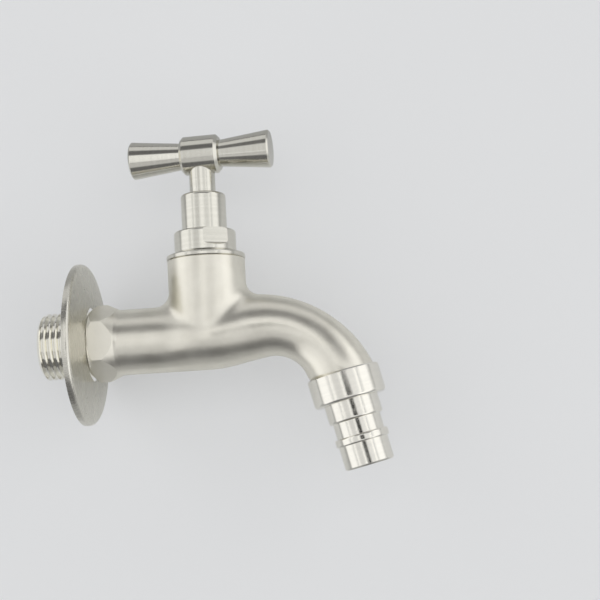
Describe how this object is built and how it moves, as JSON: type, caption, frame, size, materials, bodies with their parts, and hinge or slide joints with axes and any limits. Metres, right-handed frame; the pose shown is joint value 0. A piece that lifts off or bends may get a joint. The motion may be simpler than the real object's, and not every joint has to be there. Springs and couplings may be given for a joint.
{
  "type": "garden tap",
  "caption": "Garden tap with a screw-down valve: threaded inlet and spanner hexagon, T-bar handle on a rising spindle, bent spout with a hose nozzle, and a loose wall rosette.",
  "frame": {"origin": "centre of the inlet's open end, on the inlet axis", "axes": "+X along the inlet towards the spout, +Z along the valve axis towards the handle, +Y completing a right-handed frame; the spout leans down in the XZ plane"},
  "size_m": [0.1075, 0.051, 0.1085],
  "materials": {
    "satin_body": "fine blasted stainless steel casting",
    "satin_turned": "satin stainless steel with fine turning marks",
    "bright_nozzle": "bright turned stainless steel",
    "brushed_sheet": "brushed sheet",
    "bare_brass": "bare turned brass",
    "screw_steel": "plain stainless steel",
    "slip_washer": "smooth low-friction plastic",
    "seal_rubber": "smooth black rubber"
  },
  "bodies": {
    "tap": {"tap_body": "satin_body", "bonnet": "satin_turned", "bonnet_seal": "seal_rubber", "hose_nozzle": "bright_nozzle", "nozzle_seal": "seal_rubber"},
    "valve": {"jumper_valve": "bare_brass", "seat_washer": "seal_rubber", "washer_nut": "bare_brass"},
    "spindle_and_handle": {"spindle": "satin_turned", "lower_spindle_seal": "seal_rubber", "upper_spindle_seal": "seal_rubber", "stop_washer": "slip_washer", "handle_crossbar": "satin_turned", "handle_screw": "screw_steel"},
    "rosette": {"wall_rosette": "brushed_sheet"}
  },
  "joints": [
    {"name": "valve_lift", "type": "slide", "parent": "tap", "child": "valve", "axis": [0, 0, 1], "range_m": [0, 0.0045]},
    {"name": "handle_turn", "type": "hinge", "parent": "valve", "child": "spindle_and_handle", "pos_m": [0.0525, 0, 0.03], "axis": [0, 0, 1], "range_deg": [0, 810]},
    {"name": "rosette_slide", "type": "slide", "parent": "tap", "child": "rosette", "axis": [-1, 0, 0], "range_m": [0, 0.012]}
  ],
  "couplings": [
    {"joint": "valve_lift", "follows": "handle_turn", "m_per_rad": 0.00031831}
  ]
}
